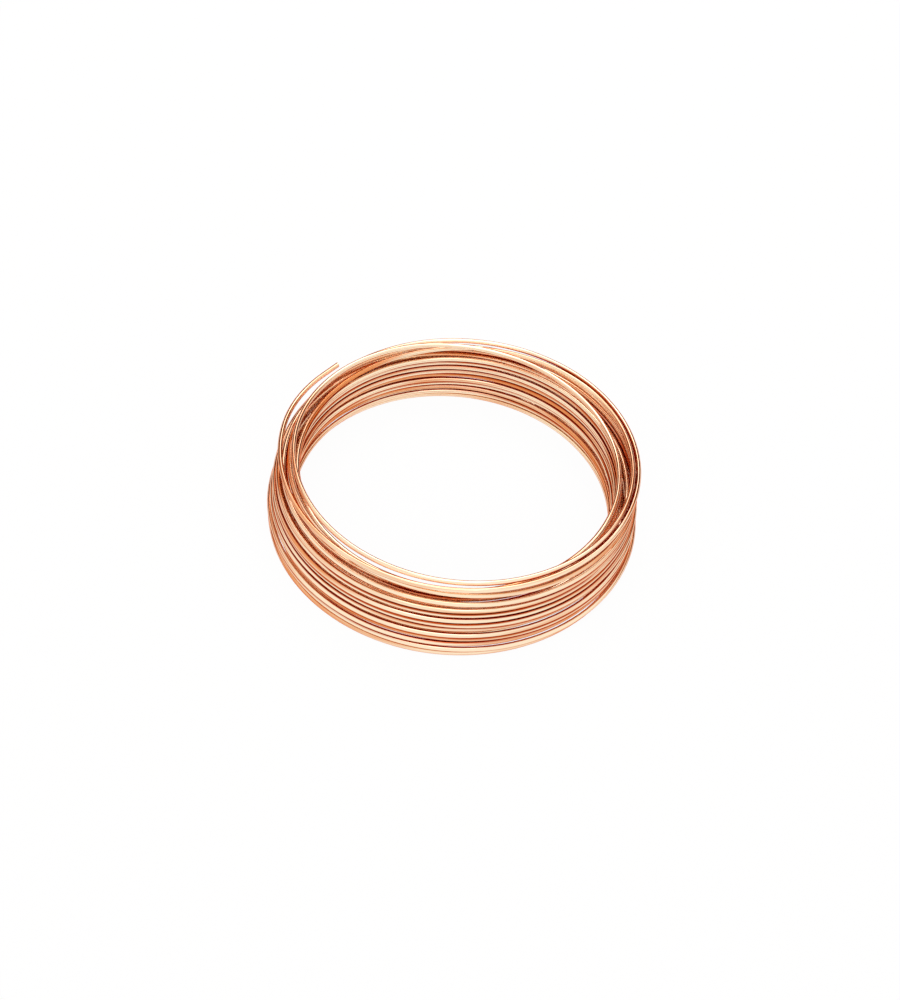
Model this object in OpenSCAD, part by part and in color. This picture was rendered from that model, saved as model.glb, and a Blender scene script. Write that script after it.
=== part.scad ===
// Loose coil of bare copper wire, lying flat.
// The origin is on the floor under the middle of the coil, Z is up.
// The wire starts at the left on the floor, runs round clockwise seen from above,
// and ends at the rear left of the top as a short free end.
// It is wound in three layers: the inner one climbs turn on turn, the middle one comes down again
// in a few steep turns, and the outer one climbs turn on turn past the top of the other two.

/* [Wire] */
// Diameter of the wire
wire_d = 1.5; // [1.3:0.05:1.7]
// Radius at which the free end springs off the coil
free_bend_r = 45; // [35:1:60]
// Length of wire in that bend
free_bend_len = 28; // [15:1:35]
// Straight length at the end of the wire
free_tip_len = 7; // [5:1:15]

/* [Winding] */
// Half turns in the middle layer: an odd number, as it starts at the right and ends at the left
middle_halves = 9; // [3:2:9]
// Half turns in the outer layer up to the top of the other two: an odd number, for the same reason
outer_halves = 23; // [15:2:23]
// Half turns by which the outer layer climbs past that
extra_halves = 2; // [0:2:2]
// Room between a turn and the next above it, in the outer layer
turn_gap = 0.14; // [0.1:0.01:1]
// Radius of the clear eye at the foot of the coil
eye_foot_r = 48.95; // [40:0.05:70]
// How much smaller that radius is at the top of the coil
eye_narrowing = 1; // [0:0.05:2]
// Room between two layers at the foot
layer_gap_foot = 1.65; // [1.5:0.05:4]
// Room between two layers at the top
layer_gap_top = 0.8; // [0.65:0.05:2]

/* [How the layers stand] */
// How far the front of the coil is higher than its rear, for each unit of height
front_rise = 0.01; // [0:0.005:0.08]
// Where the inner layer stands at its foot, seen from above
inner_foot = [-2.65, -1.65]; // [-4:0.05:4]
// Where the outer layer stands at its foot
outer_foot = [-2.25, -2.5]; // [-4:0.05:4]
// Where the inner layer stands at its top
inner_top = [-0.8, 0.15]; // [-4:0.05:4]
// Where the outer layer stands at its top
outer_top = [-1.25, -0.85]; // [-4:0.05:4]
// How far the inner and the outer layer's turns stray in and out at the foot
stray_foot = 0.7; // [0:0.05:0.8]
// How far they stray in and out at the top
stray_top = 0.3; // [0:0.05:0.4]

/* [How single turns have shifted, in wire diameters] */
// How far the inner layer's last four crossings have slipped outwards, right and left in turn
inner_slip = [0.1, -0.25, 2.2, 0.9]; // [-3:0.05:3]
// How far its last two have sprung up
inner_lift = [2.65, 3.1]; // [0:0.05:4]
// How far its last two have moved back
inner_shift = [-0.15, -0.15]; // [-1:0.05:1]
// How far the middle layer's first four crossings have slipped outwards, right and left in turn
middle_slip = [-1.8, 0.2, 0.15, -0.1]; // [-3:0.05:3]
// How far its first two have sprung up
middle_lift = [-0.05, -0.05]; // [-1:0.05:1]
// How far the last eight crossings of the wire have slipped outwards, right and left in turn
last_slip = [-0.3, 0, 0.4, -0.9, 0.1, -1.75, 0.45, 0.2]; // [-3:0.05:3]
// How far the last five have sprung up, left and right in turn
last_lift = [0.55, 0.55, 1.3, 1.3, 1.45]; // [0:0.05:4]
// How far the last two have moved back, right and left
last_shift = [0.75, 0.9]; // [-1:0.05:2]

/* [Hidden] */
$fn = 96;
// Sides of the wire where it is drawn
wire_sides = 24;
// Turns from one stray to the next, and where the first one is
stray_every = 2.618;
stray_phase = -130;

copper = "#e0a070";
step_foot = wire_d + layer_gap_foot;
step_top = wire_d + layer_gap_top;
foot_r = eye_foot_r + wire_d / 2;
top_r = foot_r - eye_narrowing;
// The inner layer starts at the left, so it has half a turn less than the outer one
inner_halves = outer_halves - 1;
// Whole turns in each layer, and the height that all three share
layer_turns = [inner_halves / 2, middle_halves / 2, outer_halves / 2];
rise = (wire_d + turn_gap) * layer_turns[2];
// A layer has one crossing more than half turns
middle_start = inner_halves + 1;
outer_start = middle_start + middle_halves + 1;
last_crossing = outer_start + outer_halves + extra_halves;

// Names count whole turns, and a turn has a rear half and a front half
function two_digits(n) = n < 10 ? str("0", n) : str(n);
function turn_name(k) = str("turn_", two_digits(floor(k / 2) + 1), k % 2 == 0 ? "_rear" : "_front");

function unit(v) = v / norm(v);
function mix(a, b, t) = a + (b - a) * t;
function entry(list, i) = i >= 0 && i < len(list) ? list[i] : 0;

// Crossings lie at the left and at the right of the coil in turn, and number 0 is at the left
function side(k) = k % 2 == 0 ? -1 : 1;
function layer(k) = k < middle_start ? 0 : k < outer_start ? 1 : 2;
// Whole turns that a crossing is above the foot of its layer, and that as a share of the layer
function level(k) =
    layer(k) == 0 ? k / 2
    : layer(k) == 1 ? (outer_start - 1 - k) / 2
    : (k - outer_start) / 2;
function up(k) = level(k) / layer_turns[layer(k)];
// Slips, lifts and shifts belong to the inner layer's last crossings,
// the middle layer's first ones and the last ones of the wire
function moved(k, inner, middle, last) =
    wire_d
    * (entry(inner, k - middle_start + len(inner))
        + entry(middle, k - middle_start)
        + entry(last, k - last_crossing + len(last) - 1));

// The lowest half turn of each layer lies flat on the floor
function height(k) =
    wire_d / 2 + (level(k) > 0.5 ? rise * up(k) : 0) + moved(k, inner_lift, middle_lift, last_lift);
function stray(k) =
    layer(k) == 1 ? 0
    : mix(stray_foot, stray_top, up(k)) * side(k) * cos(360 * level(k) / stray_every + stray_phase);
function radius(k) =
    mix(foot_r + layer(k) * step_foot, top_r + layer(k) * step_top, up(k))
    + stray(k)
    + moved(k, inner_slip, middle_slip, last_slip);
function centre(k) =
    let (out = layer(k) / 2)
    mix(mix(inner_foot, outer_foot, out), mix(inner_top, outer_top, out), up(k))
    + [0, moved(k, inner_shift, [], last_shift)];

// Crossings before the coil is centred on the origin
loose = [for (k = [0 : last_crossing])
    let (c = centre(k))
    [c[0] + side(k) * radius(k), c[1], height(k)]];
reach_y = [for (k = [0 : last_crossing - 1])
    (loose[k][1] + loose[k + 1][1]) / 2 - side(k) * norm(loose[k] - loose[k + 1]) / 2];
reach_x = [for (p = loose) p[0]];
middle = [(min(reach_x) + max(reach_x)) / 2, (min(reach_y) + max(reach_y)) / 2, 0];
crossings = [for (p = loose) p - middle];

// Half the height by which the front of a turn is over its rear at a crossing
function tilt(k) = front_rise * (crossings[k][2] - wire_d / 2);

// An arc of wire that starts at radius r along x, turns towards y and lies about centre c
module wire_arc(c, x, y, r, angle) {
    z = cross(x, y);
    multmatrix([
        [x[0], y[0], z[0], c[0]],
        [x[1], y[1], z[1], c[1]],
        [x[2], y[2], z[2], c[2]]])
        rotate_extrude(angle = angle)
            translate([r, 0])
                circle(d = wire_d, $fn = wire_sides);
}

// From crossing k to the next: round the front of the coil from the right, round the rear from the left
module half_turn(k) {
    a = crossings[k];
    b = crossings[k + 1];
    r = norm(a - b) / 2;
    x = (a - b) / (2 * r);
    out = -side(k) * [0, r, -(tilt(k) + tilt(k + 1)) / 2];
    y = unit(out - (out * x) * x);
    color(copper) wire_arc((a + b) / 2, x, y, r, 180);
}

// The free end goes on from the last crossing towards the rear and bends in over the coil
end_start = crossings[last_crossing];
end_along = unit([0, 1, tilt(last_crossing) / end_start[0]]);
end_in = [1, 0, 0];
end_angle = free_bend_len / free_bend_r * 180 / PI;
end_centre = end_start + free_bend_r * end_in;

module free_end_bend() {
    color(copper) wire_arc(end_centre, -end_in, end_along, free_bend_r, end_angle);
}

module free_end_tip() {
    x = -cos(end_angle) * end_in + sin(end_angle) * end_along;
    along = sin(end_angle) * end_in + cos(end_angle) * end_along;
    y = cross(along, x);
    p = end_centre + free_bend_r * x;
    color(copper)
        multmatrix([
            [x[0], y[0], along[0], p[0]],
            [x[1], y[1], along[1], p[1]],
            [x[2], y[2], along[2], p[2]]])
            cylinder(d = wire_d, h = free_tip_len, $fn = wire_sides);
}

for (k = [0 : last_crossing - 1])
    half_turn(k);
free_end_bend();
free_end_tip();
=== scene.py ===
"""Looks of a loose coil of bare copper wire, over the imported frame.

The wire's route is worked out as in the part's source. One tube of wire is swept along it, with a
pinched cut at both ends, and stands for all the half turns of the frame.
"""

import logging
import math
from abc import ABC, abstractmethod
from dataclasses import dataclass, field
from enum import Enum

import bmesh
import bpy
from bmesh.types import BMEdge, BMesh, BMFace, BMVert
from bpy.types import Material, Node, NodeSocket, NodeTree, Object
from mathutils import Matrix, Vector
from mathutils.kdtree import KDTree


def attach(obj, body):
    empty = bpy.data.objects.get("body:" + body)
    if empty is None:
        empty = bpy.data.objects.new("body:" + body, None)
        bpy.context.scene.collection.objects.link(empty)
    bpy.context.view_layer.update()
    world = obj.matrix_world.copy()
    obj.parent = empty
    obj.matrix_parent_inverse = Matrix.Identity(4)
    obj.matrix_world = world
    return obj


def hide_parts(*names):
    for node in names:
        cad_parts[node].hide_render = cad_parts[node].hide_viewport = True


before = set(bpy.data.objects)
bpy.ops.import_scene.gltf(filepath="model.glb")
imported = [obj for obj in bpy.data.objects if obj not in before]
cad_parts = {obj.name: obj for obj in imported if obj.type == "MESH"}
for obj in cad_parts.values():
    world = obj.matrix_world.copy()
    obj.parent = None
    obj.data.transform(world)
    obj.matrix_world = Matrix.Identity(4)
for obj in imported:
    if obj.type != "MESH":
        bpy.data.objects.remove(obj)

LOG = logging.getLogger("copper_coil")
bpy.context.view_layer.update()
MM = 0.001
HALF_TURN = 0.5
UP = Vector((0, 0, 1))
SKIN_MAP = "wire_skin"
# Vertex attribute that tells where shade is painted between close turns.
CREVICE = "crevice"

Colour = tuple[float, float, float, float]
Pair = tuple[float, float]
Moves = tuple[float, ...]

WHITE: Colour = (1.0, 1.0, 1.0, 1.0)


class Slot(Enum):
    """Material slots of the wire's mesh."""

    DRAWN = 0
    SHEARED = 1


def mix(a: float, b: float, share: float) -> float:
    """Returns the value that lies a share of the way from a to b."""
    return a + (b - a) * share


def entry(values: Moves, place: int) -> float:
    """Returns the value at a place of a list, or 0 where there is none."""
    return values[place] if 0 <= place < len(values) else 0.0


@dataclass(frozen=True)
class Stretch(ABC):
    """Stretch of the wire's route, which starts along y on the side x of its bend."""

    x: Vector
    y: Vector

    @property
    def axis(self) -> Vector:
        """Axis that the wire bends about."""
        return self.x.cross(self.y)

    @property
    @abstractmethod
    def length(self) -> float:
        """Length of the centreline."""

    @abstractmethod
    def point(self, along: float) -> Vector:
        """Returns the centreline's point at a length from the start."""

    @abstractmethod
    def heading(self, along: float) -> Vector:
        """Returns the wire's direction at a length from the start."""

    @abstractmethod
    def carried(self, facing: Vector) -> Vector:
        """Returns the direction that a ring faces once it has been swept along."""

    @abstractmethod
    def skin(self, spot: Vector) -> Pair:
        """Finds a spot of the wire's surface on its unrolled skin.

        Args:
            spot: A point of the surface.

        Returns:
            The length along the wire from the start, and the share of a turn round the wire.
        """

    @abstractmethod
    def sweep(self, bm: BMesh, ring: list[BMEdge], spacing: float) -> list[BMEdge]:
        """Sweeps a ring along the stretch.

        Args:
            bm: The mesh.
            ring: The edges to start from.
            spacing: About how far apart the new rings are.

        Returns:
            The last ring's edges.
        """


@dataclass(frozen=True)
class Arc(Stretch):
    """Stretch of wire on a circle, which turns from x towards y."""

    centre: Vector
    radius: float
    angle: float

    @property
    def length(self) -> float:
        """Length of the centreline."""
        return self.radius * self.angle

    def point(self, along: float) -> Vector:
        """Returns the centreline's point at a length from the start."""
        turn = along / self.radius
        return self.centre + self.radius * (math.cos(turn) * self.x + math.sin(turn) * self.y)

    def heading(self, along: float) -> Vector:
        """Returns the wire's direction at a length from the start."""
        turn = along / self.radius
        return math.cos(turn) * self.y - math.sin(turn) * self.x

    def carried(self, facing: Vector) -> Vector:
        """Returns the direction that a ring faces once it has been swept along."""
        return Matrix.Rotation(self.angle, 3, self.axis) @ facing

    def skin(self, spot: Vector) -> Pair:
        """Finds a spot of the wire's surface on its unrolled skin.

        Args:
            spot: A point of the surface.

        Returns:
            The length along the wire from the start, and the share of a turn round the wire.
        """
        arm = spot - self.centre
        along_x, along_y = arm.dot(self.x), arm.dot(self.y)
        turn = math.atan2(along_y, along_x)
        if turn < -math.pi / 2:
            turn += 2 * math.pi
        out = math.hypot(along_x, along_y) - self.radius
        return self.radius * turn, math.atan2(arm.dot(self.axis), out) / (2 * math.pi)

    def sweep(self, bm: BMesh, ring: list[BMEdge], spacing: float) -> list[BMEdge]:
        """Spins a ring along the arc.

        Args:
            bm: The mesh.
            ring: The edges to start from.
            spacing: About how far apart the new rings are.

        Returns:
            The last ring's edges.
        """
        made = bmesh.ops.spin(
            bm,
            geom=ring,
            cent=self.centre,
            axis=self.axis,
            angle=self.angle,
            steps=round(self.length / spacing),
            use_duplicate=False,
        )
        return [part for part in made["geom_last"] if isinstance(part, BMEdge)]


@dataclass(frozen=True)
class Straight(Stretch):
    """Straight stretch of wire."""

    start: Vector
    run: float

    @property
    def length(self) -> float:
        """Length of the centreline."""
        return self.run

    def point(self, along: float) -> Vector:
        """Returns the centreline's point at a length from the start."""
        return self.start + along * self.y

    def heading(self, along: float) -> Vector:
        """Returns the wire's direction, which is the same all along."""
        return self.y

    def carried(self, facing: Vector) -> Vector:
        """Returns the direction that a ring faces, which the sweep doesn't change."""
        return facing

    def skin(self, spot: Vector) -> Pair:
        """Finds a spot of the wire's surface on its unrolled skin.

        Args:
            spot: A point of the surface.

        Returns:
            The length along the wire from the start, and the share of a turn round the wire.
        """
        arm = spot - self.start
        return arm.dot(self.y), math.atan2(arm.dot(self.axis), arm.dot(self.x)) / (2 * math.pi)

    def sweep(self, bm: BMesh, ring: list[BMEdge], spacing: float) -> list[BMEdge]:
        """Extrudes a ring along the stretch.

        Args:
            bm: The mesh.
            ring: The edges to start from.
            spacing: About how far apart the new rings are.

        Returns:
            The last ring's edges.
        """
        steps = round(self.length / spacing)
        for _ in range(steps):
            ring = extruded(bm, ring)
            bmesh.ops.translate(bm, verts=verts_of(ring), vec=self.y * self.length / steps)
        return ring


def verts_of(ring: list[BMEdge]) -> list[BMVert]:
    """Returns a ring's vertices, in an order that is the same in each run."""
    return list(dict.fromkeys(vert for edge in ring for vert in edge.verts))


def extruded(bm: BMesh, ring: list[BMEdge]) -> list[BMEdge]:
    """Extrudes a ring of edges and returns the new ring."""
    made = bmesh.ops.extrude_edge_only(bm, edges=ring)["geom"]
    return [part for part in made if isinstance(part, BMEdge) and len(part.link_faces) == 1]


def rank(face: BMFace, total: int) -> int:
    """Finds a face's place in an order that is the same in each run.

    Args:
        face: The face, whose vertices are numbered.
        total: How many vertices the mesh has.

    Returns:
        The face's three lowest vertex numbers, as the digits of one number.
    """
    low, middle, high = sorted(vert.index for vert in face.verts)[:3]
    return (low * total + middle) * total + high


@dataclass(frozen=True)
class Winding:
    """Route of the wire: three layers of turns between crossings at the left and the right.

    Crossing 0 is at the left on the floor. The wire runs clockwise seen from above: round the rear
    from each crossing at the left, and round the front from each one at the right. Sizes are in
    millimetres, as in the part's source, and the route comes out in metres.
    """

    wire_d: float = 1.5
    middle_halves: int = 9
    outer_halves: int = 23
    extra_halves: int = 2
    turn_gap: float = 0.14
    eye_foot_r: float = 48.95
    eye_narrowing: float = 1
    layer_gap_foot: float = 1.65
    layer_gap_top: float = 0.8
    front_rise: float = 0.01
    inner_foot: Pair = (-2.65, -1.65)
    outer_foot: Pair = (-2.25, -2.5)
    inner_top: Pair = (-0.8, 0.15)
    outer_top: Pair = (-1.25, -0.85)
    stray_foot: float = 0.7
    stray_top: float = 0.3
    inner_slip: Moves = (0.1, -0.25, 2.2, 0.9)
    inner_lift: Moves = (2.65, 3.1)
    inner_shift: Moves = (-0.15, -0.15)
    middle_slip: Moves = (-1.8, 0.2, 0.15, -0.1)
    middle_lift: Moves = (-0.05, -0.05)
    last_slip: Moves = (-0.3, 0, 0.4, -0.9, 0.1, -1.75, 0.45, 0.2)
    last_lift: Moves = (0.55, 0.55, 1.3, 1.3, 1.45)
    last_shift: Moves = (0.75, 0.9)
    free_bend_r: float = 45
    free_bend_len: float = 28
    free_tip_len: float = 7
    stray_every: float = 2.618
    stray_phase: float = math.radians(-130)

    @property
    def inner_halves(self) -> int:
        """Half turns in the inner layer, which starts at the left and so has one less."""
        return self.outer_halves - 1

    @property
    def middle_start(self) -> int:
        """Number of the middle layer's first crossing."""
        return self.inner_halves + 1

    @property
    def outer_start(self) -> int:
        """Number of the outer layer's first crossing."""
        return self.middle_start + self.middle_halves + 1

    @property
    def last(self) -> int:
        """Number of the last crossing."""
        return self.outer_start + self.outer_halves + self.extra_halves

    @property
    def rise(self) -> float:
        """Height from the lowest crossing of a layer to its regular top."""
        return (self.wire_d + self.turn_gap) * self.outer_halves / 2

    @staticmethod
    def side(k: int) -> int:
        """Returns 1 for a crossing at the right and -1 for one at the left."""
        return 1 if k % 2 else -1

    def layer(self, k: int) -> int:
        """Returns 0, 1 or 2 for the inner, middle or outer layer."""
        return (k >= self.middle_start) + (k >= self.outer_start)

    def level(self, k: int) -> float:
        """Returns the whole turns that a crossing is above the foot of its layer."""
        feet = (0, self.outer_start - 1, self.outer_start)
        return abs(k - feet[self.layer(k)]) / 2

    def up(self, k: int) -> float:
        """Returns a crossing's level as a share of its layer."""
        halves = (self.inner_halves, self.middle_halves, self.outer_halves)
        return 2 * self.level(k) / halves[self.layer(k)]

    def moved(self, k: int, inner: Moves, middle: Moves, last: Moves) -> float:
        """Finds how far a crossing has moved from its regular place.

        Args:
            k: The crossing's number.
            inner: Moves of the inner layer's last crossings, in wire diameters.
            middle: Moves of the middle layer's first crossings, in wire diameters.
            last: Moves of the wire's last crossings, in wire diameters.

        Returns:
            The move of crossing k.
        """
        return self.wire_d * (
            entry(inner, k - self.middle_start + len(inner))
            + entry(middle, k - self.middle_start)
            + entry(last, k - self.last + len(last) - 1)
        )

    def height(self, k: int) -> float:
        """Returns a crossing's height, with the lowest half turn of each layer flat on the floor."""
        regular = self.rise * self.up(k) if self.level(k) > HALF_TURN else 0.0
        return self.wire_d / 2 + regular + self.moved(k, self.inner_lift, self.middle_lift, self.last_lift)

    def stray(self, k: int) -> float:
        """Returns how far a crossing of the inner or the outer layer strays outwards."""
        if self.layer(k) == 1:
            return 0.0
        wave = math.cos(2 * math.pi * self.level(k) / self.stray_every + self.stray_phase)
        return mix(self.stray_foot, self.stray_top, self.up(k)) * self.side(k) * wave

    def radius(self, k: int) -> float:
        """Returns a crossing's distance from the middle of its layer."""
        eye = self.eye_foot_r + self.wire_d / 2
        foot = eye + self.layer(k) * (self.wire_d + self.layer_gap_foot)
        top = eye - self.eye_narrowing + self.layer(k) * (self.wire_d + self.layer_gap_top)
        slip = self.moved(k, self.inner_slip, self.middle_slip, self.last_slip)
        return mix(foot, top, self.up(k)) + self.stray(k) + slip

    def centre(self, k: int) -> list[float]:
        """Returns where a crossing's layer stands at its height, seen from above."""
        out = self.layer(k) / 2
        feet = [mix(a, b, out) for a, b in zip(self.inner_foot, self.outer_foot)]
        tops = [mix(a, b, out) for a, b in zip(self.inner_top, self.outer_top)]
        return [mix(a, b, self.up(k)) for a, b in zip(feet, tops)]

    def crossings(self) -> list[Vector]:
        """Returns all crossings in metres, with the coil's box centred on the origin."""
        loose = []
        for k in range(self.last + 1):
            x, y = self.centre(k)
            shift = self.moved(k, self.inner_shift, (), self.last_shift)
            loose.append(Vector((x + self.side(k) * self.radius(k), y + shift, self.height(k))))
        reach_x = [p.x for p in loose]
        reach_y = [
            (a.y + b.y) / 2 - self.side(k) * (a - b).length / 2
            for k, (a, b) in enumerate(zip(loose, loose[1:]))
        ]
        middle = Vector(((min(reach_x) + max(reach_x)) / 2, (min(reach_y) + max(reach_y)) / 2, 0))
        return [(p - middle) * MM for p in loose]

    def stretches(self) -> list[Stretch]:
        """Returns the half turns in order, and after them the bend and the tip of the free end."""
        places = self.crossings()
        tilts = [self.front_rise * (p.z - self.wire_d / 2 * MM) for p in places]
        route: list[Stretch] = []
        for k, (a, b) in enumerate(zip(places, places[1:])):
            r = (a - b).length / 2
            x = (a - b) / (2 * r)
            out = -self.side(k) * Vector((0, r, -(tilts[k] + tilts[k + 1]) / 2))
            y = (out - out.dot(x) * x).normalized()
            route.append(Arc(x, y, (a + b) / 2, r, math.pi))
        return route + self.free_end(places[-1], tilts[-1])

    def free_end(self, start: Vector, tilt: float) -> list[Stretch]:
        """Lays the end that springs off the top.

        Args:
            start: The last crossing.
            tilt: How much the front is over the rear there.

        Returns:
            The bend and the straight tip.
        """
        inwards = Vector((1, 0, 0))
        along = Vector((0, 1, tilt / start.x)).normalized()
        radius = self.free_bend_r * MM
        bend = Arc(-inwards, along, start + radius * inwards, radius, self.free_bend_len / self.free_bend_r)
        end = bend.point(bend.length)
        side = (end - bend.centre).normalized()
        return [bend, Straight(side, bend.heading(bend.length), end, self.free_tip_len * MM)]


class NodeSheet:
    """Adds and links the nodes of one tree, from left to right."""

    COLUMN = 220

    def __init__(self, tree: NodeTree) -> None:
        """Starts on an emptied tree."""
        self.tree = tree
        tree.nodes.clear()

    def add(self, kind: str, settings: dict[str, object] | None = None, **inputs: object) -> Node:
        """Adds one node and fills its inputs.

        Args:
            kind: The node's type.
            settings: Values of the node's own properties.
            inputs: Values or sockets by input name, with _ for a space, or by number as i0, i1 and so on.

        Returns:
            The node.
        """
        node = self.tree.nodes.new(kind)
        node.location.x = self.COLUMN * len(self.tree.nodes)
        for name, value in (settings or {}).items():
            setattr(node, name, value)
        for name, value in inputs.items():
            numbered = name[0] == "i" and name[1:].isdigit()
            self.fill(node.inputs[int(name[1:]) if numbered else name.replace("_", " ")], value)
        return node

    def fill(self, socket: NodeSocket, value: object) -> None:
        """Links a socket, or sets its value."""
        if isinstance(value, NodeSocket):
            self.tree.links.new(value, socket)
        else:
            socket.default_value = value

    def math(self, operation: str, a: object, b: object = 0.0, c: object = 0.0) -> NodeSocket:
        """Adds a Math node and returns its result."""
        return self.add("ShaderNodeMath", {"operation": operation}, i0=a, i1=b, i2=c).outputs[0]

    def ranged(self, value: object, given: Pair, wanted: Pair = (0.0, 1.0)) -> NodeSocket:
        """Maps a value from one range to another and returns the result."""
        ends = {"i1": given[0], "i2": given[1], "i3": wanted[0], "i4": wanted[1]}
        return self.add("ShaderNodeMapRange", None, i0=value, **ends).outputs[0]

    def blend(self, share: object, a: object, b: object) -> NodeSocket:
        """Mixes two colours and returns the result."""
        return self.add("ShaderNodeMix", {"data_type": "RGBA"}, i0=share, i6=a, i7=b).outputs[2]

    def noise(self, place: object, detail: float, scale: float = 1.0) -> NodeSocket:
        """Adds a noise texture and returns its value."""
        return self.add("ShaderNodeTexNoise", None, Vector=place, Scale=scale, Detail=detail).outputs[0]


@dataclass(frozen=True)
class CopperFinish(ABC):
    """Finish of bare copper: bright metal with warmer, duller patches."""

    name: str
    bright: Colour
    warm: Colour
    amount: float
    smooth: float
    dull: float
    bump_strength: float
    bump_depth: float
    edge_tint: Colour

    TONE = "copper_tone"
    PATCH_DETAIL = 4.0
    CLOUD_SCALE = 0.21
    CLOUD_DETAIL = 2.0
    PATCH_RANGE = (0.22, 0.36)

    @classmethod
    def tone_group(cls) -> NodeTree:
        """Builds the tone's shader group once.

        Returns:
            A group that gives the colour and the roughness at a place on the metal.
        """
        if cls.TONE in bpy.data.node_groups:
            return bpy.data.node_groups[cls.TONE]
        tree = bpy.data.node_groups.new(cls.TONE, "ShaderNodeTree")
        tree.interface.new_socket("Place", in_out="INPUT", socket_type="NodeSocketVector")
        for label in ("Bright", "Warm"):
            tree.interface.new_socket(label, in_out="INPUT", socket_type="NodeSocketColor")
        for label in ("Amount", "Smooth", "Dull"):
            tree.interface.new_socket(label, in_out="INPUT", socket_type="NodeSocketFloat")
        tree.interface.new_socket("Colour", in_out="OUTPUT", socket_type="NodeSocketColor")
        tree.interface.new_socket("Roughness", in_out="OUTPUT", socket_type="NodeSocketFloat")
        sheet = NodeSheet(tree)
        given = sheet.add("NodeGroupInput").outputs
        patches = sheet.noise(given["Place"], cls.PATCH_DETAIL)
        clouds = sheet.noise(given["Place"], cls.CLOUD_DETAIL, cls.CLOUD_SCALE)
        mask = sheet.ranged(sheet.math("MULTIPLY", patches, clouds), cls.PATCH_RANGE)
        share = sheet.math("MULTIPLY", mask, given["Amount"])
        colour = sheet.blend(share, given["Bright"], given["Warm"])
        span = sheet.math("SUBTRACT", given["Dull"], given["Smooth"])
        rough = sheet.math("MULTIPLY_ADD", mask, span, given["Smooth"])
        sheet.add("NodeGroupOutput", None, Colour=colour, Roughness=rough)
        return tree

    @abstractmethod
    def patch_place(self, sheet: NodeSheet) -> NodeSocket:
        """Returns the place to read the patches at."""

    @abstractmethod
    def marks(self, sheet: NodeSheet) -> NodeSocket:
        """Returns the height of the marks on the surface."""

    def shaded(self, sheet: NodeSheet, colour: NodeSocket) -> NodeSocket:
        """Returns the metal's colour, which here has no further shade on it."""
        return colour

    def material(self) -> Material:
        """Builds the material.

        Returns:
            The material of this finish.
        """
        made = bpy.data.materials.new(self.name)
        made.use_nodes = True
        sheet = NodeSheet(made.node_tree)
        tone = sheet.add(
            "ShaderNodeGroup",
            {"node_tree": self.tone_group()},
            Place=self.patch_place(sheet),
            Bright=self.bright,
            Warm=self.warm,
            Amount=self.amount,
            Smooth=self.smooth,
            Dull=self.dull,
        ).outputs
        marks = self.marks(sheet)
        bump = sheet.add(
            "ShaderNodeBump", None, Strength=self.bump_strength, Distance=self.bump_depth, Height=marks
        )
        shader = sheet.add(
            "ShaderNodeBsdfPrincipled",
            None,
            Base_Color=self.shaded(sheet, tone["Colour"]),
            Metallic=1.0,
            Specular_Tint=self.edge_tint,
            Roughness=tone["Roughness"],
            Normal=bump.outputs[0],
        )
        sheet.add("ShaderNodeOutputMaterial", None, Surface=shader.outputs[0])
        return made


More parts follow.
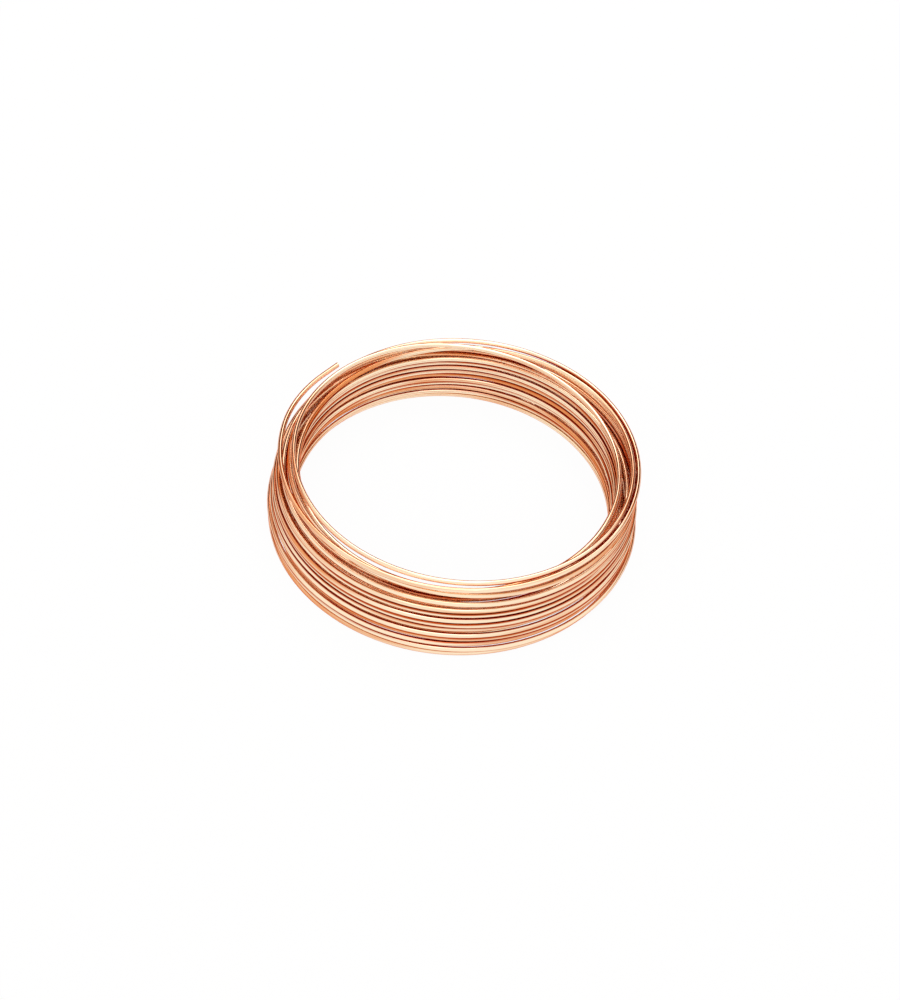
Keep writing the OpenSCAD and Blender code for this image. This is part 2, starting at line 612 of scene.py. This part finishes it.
@dataclass(frozen=True)
class DrawnCopper(CopperFinish):
    """Skin of the wire as it left the drawing die: fine lines along it, tarnish, and painted shade between
    close turns.

    Attributes:
        line_share: Height of the draw lines, as a share of the waves' height.
        painted_shade_noise_range: Noise values between which the painted shade goes from weak to full.
        painted_shade_strength: Strengths of the painted shade at those two values.
        painted_shade_red_range: Amounts of painted shade between which the metal turns deep red.
        painted_shade_dark_range: Amounts of painted shade between which the red turns nearly black.
    """

    name: str = "drawn_copper"
    bright: Colour = (1.0, 0.81, 0.58, 1.0)
    warm: Colour = (0.80, 0.27, 0.07, 1.0)
    amount: float = 0.9
    smooth: float = 0.05
    dull: float = 0.13
    bump_strength: float = 1.0
    bump_depth: float = 0.15 * MM
    edge_tint: Colour = (0.7, 0.07, 0.012, 1.0)
    lines_round: float = 9.0
    lines_per_metre: float = 7.0
    line_detail: float = 3.0
    line_share: float = 0.03
    waves_round: float = 0.45
    waves_per_metre: float = 60.0
    wave_detail: float = 1.0
    patches_round: float = 0.5
    patches_per_metre: float = 24.0
    # Colours of the shade painted between close turns: deep red first, then nearly black.
    painted_shade_red: Colour = (0.55, 0.09, 0.012, 1.0)
    painted_shade_dark: Colour = (0.09, 0.006, 0.001, 1.0)
    painted_shade_noise_scale: float = 0.8
    painted_shade_noise_detail: float = 2.0
    painted_shade_noise_range: Pair = (0.38, 0.6)
    painted_shade_strength: Pair = (0.2, 1.0)
    painted_shade_red_range: Pair = (0.05, 0.4)
    painted_shade_dark_range: Pair = (0.6, 1.0)

    def wrapped(self, sheet: NodeSheet, round_it: float, per_metre: float) -> NodeSocket:
        """Wraps the unrolled skin round a cylinder, so that a pattern on it has no seam.

        Args:
            sheet: The material's nodes.
            round_it: Radius of the cylinder, in pattern sizes.
            per_metre: Pattern sizes in a metre of wire.

        Returns:
            The place to read a pattern at.
        """
        skin = sheet.add("ShaderNodeUVMap", {"uv_map": SKIN_MAP}).outputs[0]
        parts = sheet.add("ShaderNodeSeparateXYZ", None, i0=skin).outputs
        turn = sheet.math("MULTIPLY", parts[1], 2 * math.pi)
        x = sheet.math("MULTIPLY", sheet.math("COSINE", turn), round_it)
        y = sheet.math("MULTIPLY", sheet.math("SINE", turn), round_it)
        z = sheet.math("MULTIPLY", parts[0], per_metre)
        return sheet.add("ShaderNodeCombineXYZ", None, i0=x, i1=y, i2=z).outputs[0]

    def patch_place(self, sheet: NodeSheet) -> NodeSocket:
        """Returns the place to read the patches at."""
        return self.wrapped(sheet, self.patches_round, self.patches_per_metre)

    def shaded(self, sheet: NodeSheet, colour: NodeSocket) -> NodeSocket:
        """Paints shade on the metal where turns lie close together: deep red, then nearly black.

        Args:
            sheet: The material's nodes.
            colour: The metal's colour.

        Returns:
            The colour with the painted shade.
        """
        # Painted shade between close turns, uneven along the wire.
        close = sheet.add("ShaderNodeAttribute", {"attribute_name": CREVICE}).outputs["Fac"]
        spread = sheet.noise(self.patch_place(sheet), self.painted_shade_noise_detail, self.painted_shade_noise_scale)
        uneven = sheet.ranged(spread, self.painted_shade_noise_range, self.painted_shade_strength)
        share = sheet.math("MULTIPLY", close, uneven)
        reddened_by_shade = sheet.blend(sheet.ranged(share, self.painted_shade_red_range), colour, self.painted_shade_red)
        return sheet.blend(sheet.ranged(share, self.painted_shade_dark_range), reddened_by_shade, self.painted_shade_dark)

    def marks(self, sheet: NodeSheet) -> NodeSocket:
        """Returns the height of the draw lines on the slow waves of the wire."""
        along = self.wrapped(sheet, self.lines_round, self.lines_per_metre)
        lines = sheet.noise(along, self.line_detail)
        bends = self.wrapped(sheet, self.waves_round, self.waves_per_metre)
        waves = sheet.noise(bends, self.wave_detail)
        return sheet.math("MULTIPLY_ADD", lines, self.line_share, waves)


@dataclass(frozen=True)
class ShearedCopper(CopperFinish):
    """Cut face of the wire: fresh metal with the tear marks of the cutters."""

    name: str = "sheared_copper"
    bright: Colour = (0.97, 0.66, 0.42, 1.0)
    warm: Colour = (0.80, 0.40, 0.22, 1.0)
    amount: float = 0.9
    smooth: float = 0.28
    dull: float = 0.5
    bump_strength: float = 0.6
    bump_depth: float = 0.02 * MM
    edge_tint: Colour = (0.85, 0.45, 0.25, 1.0)
    grains_per_metre: float = 2600.0
    tears_per_metre: float = 5200.0
    tear_detail: float = 3.0

    def patch_place(self, sheet: NodeSheet) -> NodeSocket:
        """Returns the place to read the patches at."""
        place = sheet.add("ShaderNodeTexCoord").outputs["Object"]
        grains = (self.grains_per_metre,) * 3
        return sheet.add("ShaderNodeMapping", None, Vector=place, Scale=grains).outputs[0]

    def marks(self, sheet: NodeSheet) -> NodeSocket:
        """Returns the height of the tear marks."""
        place = sheet.add("ShaderNodeTexCoord").outputs["Object"]
        return sheet.noise(place, self.tear_detail, self.tears_per_metre)


@dataclass
class CopperWire:
    """The wire itself: one tube along the winding, pinched off by cutters at both ends.

    Attributes:
        cut_slope: Fall of the cut's two slopes, for each unit of width.
        cut_tip: Share of its size that a ring of the cut keeps where it closes.
        same_turn: Length of wire each way in which nothing counts as another turn.
        crevice_gap: Gaps to another turn at which the painted shade is full and at which it ends.
    """

    winding: Winding
    name: str = "copper_wire"
    sides: int = 20
    ring_spacing: float = 2.9 * MM
    cut_rings: int = 3
    cut_slope: float = 0.45
    cut_tip: float = 0.02
    weld: float = 0.0005 * MM
    path_step: float = 6 * MM
    probe_step: float = 0.5 * MM
    same_turn: float = 3 * MM
    crevice_gap: Pair = (0.2 * MM, 0.82 * MM)
    drawn: DrawnCopper = field(default_factory=DrawnCopper)
    sheared: ShearedCopper = field(default_factory=ShearedCopper)

    def build(self) -> Object:
        """Sweeps the tube along the winding, stretch by stretch, and closes its ends.

        Returns:
            The wire's object.
        """
        route = self.winding.stretches()
        ways = [route[0].heading(0)]
        ways += [(a.heading(a.length) + b.heading(0)).normalized() for a, b in zip(route, route[1:])]
        ways.append(route[-1].heading(route[-1].length))
        whole = bmesh.new()
        spots = self.first_spots(route[0])
        gone = 0.0
        for n, stretch in enumerate(route):
            part = bmesh.new()
            first = self.ring(part, spots)
            last = stretch.sweep(part, first, self.ring_spacing)
            self.face(part, last, stretch.point(stretch.length), stretch.carried(ways[n]), ways[n + 1])
            self.unroll(part, stretch, gone)
            ends = [vert.co.copy() for vert in verts_of(last)]
            spots = sorted(ends, key=lambda spot: stretch.skin(spot)[1])
            if n == 0:
                self.pinch(part, first, -ways[0])
            if stretch is route[-1]:
                self.pinch(part, last, ways[-1])
            self.append(whole, part)
            gone += stretch.length
        wire = self.finished(whole)
        self.mark_crevices(wire, route)
        return wire

    def first_spots(self, stretch: Stretch) -> list[Vector]:
        """Returns the places of the first ring's vertices, in order round the wire."""
        turns = [2 * math.pi * n / self.sides for n in range(self.sides)]
        r = self.winding.wire_d / 2 * MM
        return [stretch.point(0) + r * (math.cos(t) * stretch.x + math.sin(t) * stretch.axis) for t in turns]

    def ring(self, bm: BMesh, spots: list[Vector]) -> list[BMEdge]:
        """Lays a circle of the wire's size on given places.

        Args:
            bm: The mesh.
            spots: The places of its vertices, in order round the wire.

        Returns:
            The circle's edges.
        """
        circle = bmesh.ops.create_circle(bm, segments=self.sides, radius=self.winding.wire_d / 2 * MM)
        for vert, spot in zip(circle["verts"], spots):
            vert.co = spot
        return list(bm.edges)

    @staticmethod
    def face(bm: BMesh, ring: list[BMEdge], at: Vector, now: Vector, wanted: Vector) -> None:
        """Turns a ring about its middle, so that it lies square across the wire.

        Args:
            bm: The mesh.
            ring: The ring's edges.
            at: The ring's middle.
            now: The direction that the ring faces.
            wanted: The direction that it has to face.
        """
        turn = now.rotation_difference(wanted).to_matrix()
        bmesh.ops.rotate(bm, verts=verts_of(ring), cent=at, matrix=turn)

    @staticmethod
    def unroll(bm: BMesh, stretch: Stretch, gone: float) -> None:
        """Gives a stretch's faces their place on the unrolled skin.

        Args:
            bm: The mesh.
            stretch: The stretch that the faces lie on.
            gone: Length of wire before the stretch.
        """
        skin = bm.loops.layers.uv.new(SKIN_MAP)
        for face in bm.faces:
            spots = [stretch.skin(loop.vert.co) for loop in face.loops]
            high = max(turn for _, turn in spots)
            for loop, (along, turn) in zip(face.loops, spots):
                loop[skin].uv = (gone + along, turn + 1 if high - turn > HALF_TURN else turn)

    def pinch(self, bm: BMesh, ring: list[BMEdge], outwards: Vector) -> None:
        """Closes an end with the two slopes and the upright ridge that cutters leave.

        Args:
            bm: The mesh.
            ring: The edges of the open end.
            outwards: The direction out of the wire.
        """
        skin_faces = set(bm.faces)
        middle = sum((vert.co for vert in verts_of(ring)), Vector()) / self.sides
        across = outwards.cross(UP).normalized()
        self.slope(verts_of(ring), middle, outwards, across)
        for n in range(self.cut_rings, 0, -1):
            ring = extruded(bm, ring)
            for vert in verts_of(ring):
                vert.co = middle + (vert.co - middle) * (n - 1 + self.cut_tip) / n
        for face in set(bm.faces) - skin_faces:
            face.material_index = Slot.SHEARED.value
        bmesh.ops.pointmerge(bm, verts=verts_of(ring), merge_co=middle)

    def slope(self, verts: list[BMVert], middle: Vector, outwards: Vector, across: Vector) -> None:
        """Moves vertices of an end back from the ridge, along its two slopes.

        Args:
            verts: The vertices to move.
            middle: The middle of the end.
            outwards: The direction out of the wire.
            across: The direction across the ridge.
        """
        for vert in verts:
            vert.co -= self.cut_slope * abs((vert.co - middle).dot(across)) * outwards

    @staticmethod
    def append(whole: BMesh, part: BMesh) -> None:
        """Adds a finished stretch to the whole wire.

        Args:
            whole: The mesh of the wire.
            part: The mesh of the stretch, which isn't needed any more.
        """
        mesh = bpy.data.meshes.new("stretch")
        part.to_mesh(mesh)
        part.free()
        whole.from_mesh(mesh)
        bpy.data.meshes.remove(mesh)

    def finished(self, whole: BMesh) -> Object:
        """Welds the stretches together, keeps the rims of the cuts sharp and makes the object.

        Args:
            whole: The mesh of the wire.

        Returns:
            The wire's object.
        """
        open_rings = [vert for vert in whole.verts if vert.is_boundary]
        bmesh.ops.remove_doubles(whole, verts=open_rings, dist=self.weld)
        bmesh.ops.recalc_face_normals(whole, faces=whole.faces)
        whole.verts.index_update()
        total = len(whole.verts)
        whole.faces.sort(key=lambda face: rank(face, total))
        for face in whole.faces:
            face.smooth = True
        for edge in whole.edges:
            edge.smooth = len({face.material_index for face in edge.link_faces}) == 1
        mesh = bpy.data.meshes.new(self.name)
        whole.to_mesh(mesh)
        whole.free()
        made = bpy.data.objects.new(self.name, mesh)
        bpy.context.scene.collection.objects.link(made)
        return made

    def mark_crevices(self, wire: Object, route: list[Stretch]) -> None:
        """Marks each vertex by how close another turn lies to it, from 0 for none to 1 for touching, to say
        where shade is painted.

        Args:
            wire: The wire's object.
            route: The stretches of its route.
        """
        probes = self.spread(route, self.probe_step)
        tree = KDTree(len(probes))
        for n, probe in enumerate(probes):
            tree.insert(probe, n)
        tree.balance()
        radius = self.winding.wire_d / 2 * MM
        own = round(self.same_turn / self.probe_step)
        near, far = self.crevice_gap
        shares = wire.data.attributes.new(CREVICE, "FLOAT", "POINT").data
        for vert, share in zip(wire.data.vertices, shares):
            here = tree.find(vert.co)[1]
            others = [d for _, n, d in tree.find_range(vert.co, radius + far) if abs(n - here) > own]
            gap = min(others, default=radius + far) - radius
            share.value = min(1.0, (far - gap) / (far - near))

    @staticmethod
    def spread(route: list[Stretch], step: float) -> list[Vector]:
        """Spreads points along the wire's centreline.

        Args:
            route: The stretches of the route.
            step: About how far apart the points are.

        Returns:
            The points, with one at each end.
        """
        points = []
        for stretch in route:
            count = max(1, round(stretch.length / step))
            points += [stretch.point(stretch.length * n / count) for n in range(count)]
        return points + [route[-1].point(route[-1].length)]

    def dress(self, wire: Object) -> None:
        """Gives the wire its finishes and ties it to the frame.

        Args:
            wire: The wire's object.
        """
        finishes = {Slot.DRAWN: self.drawn, Slot.SHEARED: self.sheared}
        for slot in Slot:
            wire.data.materials.append(finishes[slot].material())
        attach(wire, "root")
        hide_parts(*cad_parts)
        route = self.winding.stretches()
        path = self.spread(route, self.path_step)
        length = sum(stretch.length for stretch in route)
        LOG.info("%s: %.3f m of wire, %d faces", wire.name, length, len(wire.data.polygons))


@dataclass
class Viewpoint:
    """Camera at the photograph's viewing angle, for a frame of 900 by 1000."""

    elevation: float = math.radians(46.74)
    roll: float = math.radians(5.88)
    distance: float = 430 * MM
    target: tuple[float, float, float] = (1.85 * MM, 2.32 * MM, 9 * MM)
    pixels_per_metre: float = 3259.0
    pixels_right: float = 10.6
    pixels_up: float = 16.1
    frame_height: float = 1000.0
    sensor: float = 36.0
    nearest: float = 10 * MM

    def build(self) -> Object:
        """Makes the camera and looks through it.

        Returns:
            The camera.
        """
        back = Vector((0, -math.cos(self.elevation), math.sin(self.elevation)))
        level = Vector((1, 0, 0))
        rise = back.cross(level)
        right = level * math.cos(self.roll) + rise * math.sin(self.roll)
        up = rise * math.cos(self.roll) - level * math.sin(self.roll)
        target = Vector(self.target)
        place = target + self.distance * back
        aim = target - (self.pixels_right * right + self.pixels_up * up) / self.pixels_per_metre
        away = (place - aim).normalized()
        across = up.cross(away).normalized()
        data = bpy.data.cameras.new("viewpoint")
        data.sensor_fit = "VERTICAL"
        data.sensor_height = self.sensor
        data.lens = self.sensor * self.pixels_per_metre * self.distance / self.frame_height
        data.clip_start = self.nearest
        made = bpy.data.objects.new("viewpoint", data)
        turn = Matrix((across, away.cross(across), away)).transposed().to_4x4()
        made.matrix_world = Matrix.Translation(place) @ turn
        bpy.context.scene.collection.objects.link(made)
        bpy.context.scene.camera = made
        LOG.info("viewpoint: lens of %.1f mm", data.lens)
        return made


@dataclass(frozen=True)
class Softbox:
    """Square lamp behind a diffuser."""

    name: str
    place: tuple[float, float, float]
    aim: tuple[float, float, float] = (0.0, 0.0, 0.0)
    size: float = 0.35
    radiance: float = 1.5

    def build(self) -> Object:
        """Makes the lamp.

        Returns:
            The lamp.
        """
        data = bpy.data.lights.new(self.name, "AREA")
        data.shape = "SQUARE"
        data.size = self.size
        data.energy = self.radiance * math.pi * self.size**2
        made = bpy.data.objects.new(self.name, data)
        towards = Vector(self.aim) - Vector(self.place)
        turn = towards.to_track_quat("-Z", "Y").to_matrix().to_4x4()
        made.matrix_world = Matrix.Translation(self.place) @ turn
        bpy.context.scene.collection.objects.link(made)
        LOG.info("%s: radiance %.2f", self.name, self.radiance)
        return made


@dataclass
class Studio:
    """White table, room and soft lamps.

    Attributes:
        shadow_share: How much of the real shade on the table is seen.
        room_lean: How much a direction's reach to the rear counts against its height.
        room_edges: Leaned heights at which the room is dark, warm and bright.
        room_skirting: Heights between which the white low down gives way to the room's colours.
    """

    table_size: float = 6.0
    table_white: float = 1.0
    shadow_share: float = 0.05
    room_dark: Colour = (0.09, 0.009, 0.003, 1.0)
    room_warm: Colour = (0.7, 0.26, 0.1, 1.0)
    room_bright: Colour = WHITE
    room_lean: float = 0.8
    room_edges: tuple[float, float, float] = (0.0, 0.2, 0.36)
    room_skirting: Pair = (0.12, 0.16)
    lamps: tuple[Softbox, ...] = (
        Softbox("overhead", (0.0, -0.1, 0.9)),
        Softbox("rear_high", (0.0, 0.45, 0.78)),
        Softbox("rear_low", (0.0, 0.62, 0.65)),
    )

    def build(self) -> None:
        """Makes the table, the room and the lamps, and sets the plain view transform."""
        self.table()
        self.surroundings()
        for lamp in self.lamps:
            lamp.build()
        bpy.context.scene.view_settings.view_transform = "Standard"

    def table(self) -> None:
        """Makes the white table top, which keeps the coil's shadow."""
        bm = bmesh.new()
        bmesh.ops.create_grid(bm, x_segments=1, y_segments=1, size=self.table_size / 2)
        mesh = bpy.data.meshes.new("table")
        bm.to_mesh(mesh)
        bm.free()
        mesh.materials.append(self.table_finish())
        made = bpy.data.objects.new("table", mesh)
        bpy.context.scene.collection.objects.link(made)
        LOG.info("table: %.1f m wide", self.table_size)

    def table_finish(self) -> Material:
        """Builds the table's finish: white where it is seen or mirrored, with a share of real shade.

        Returns:
            The material.
        """
        made = bpy.data.materials.new("table_white")
        made.use_nodes = True
        sheet = NodeSheet(made.node_tree)
        path = sheet.add("ShaderNodeLightPath").outputs
        seen = sheet.math("MAXIMUM", path["Is Camera Ray"], path["Is Glossy Ray"])
        seen = sheet.math("MAXIMUM", seen, path["Is Transmission Ray"])
        share = sheet.math("MULTIPLY", seen, 1 - self.shadow_share)
        white = (self.table_white,) * 3 + (1.0,)
        matt = sheet.add("ShaderNodeBsdfDiffuse", None, Color=white).outputs[0]
        glow = sheet.add("ShaderNodeEmission", None, Color=WHITE, Strength=1.0).outputs[0]
        both = sheet.add("ShaderNodeMixShader", None, i0=share, i1=matt, i2=glow).outputs[0]
        sheet.add("ShaderNodeOutputMaterial", None, Surface=both)
        return made

    def surroundings(self) -> None:
        """Makes the room: white as the table low down, dim and warm over that at the rear, else bright."""
        world = bpy.data.worlds.new("room")
        bpy.context.scene.world = world
        world.use_nodes = True
        sheet = NodeSheet(world.node_tree)
        way = sheet.add("ShaderNodeTexCoord").outputs["Generated"]
        parts = sheet.add("ShaderNodeSeparateXYZ", None, i0=way).outputs
        lean = sheet.math("MULTIPLY_ADD", parts[1], -self.room_lean, parts[2])
        low, middle, high = self.room_edges
        warm = sheet.blend(sheet.ranged(lean, (low, middle)), self.room_dark, self.room_warm)
        walls = sheet.blend(sheet.ranged(lean, (middle, high)), warm, self.room_bright)
        over = sheet.ranged(parts[2], self.room_skirting)
        colour = sheet.blend(over, self.room_bright, walls)
        light = sheet.add("ShaderNodeBackground", None, Color=colour, Strength=1.0)
        sheet.add("ShaderNodeOutputWorld", None, Surface=light.outputs[0])


def main() -> None:
    """Builds the camera, the wire and the studio in order."""
    logging.basicConfig(level=logging.INFO, format="%(name)s %(message)s")
    Viewpoint().build()
    wire = CopperWire(Winding())
    wire.dress(wire.build())
    Studio().build()


if __name__ == "__main__":
    main()
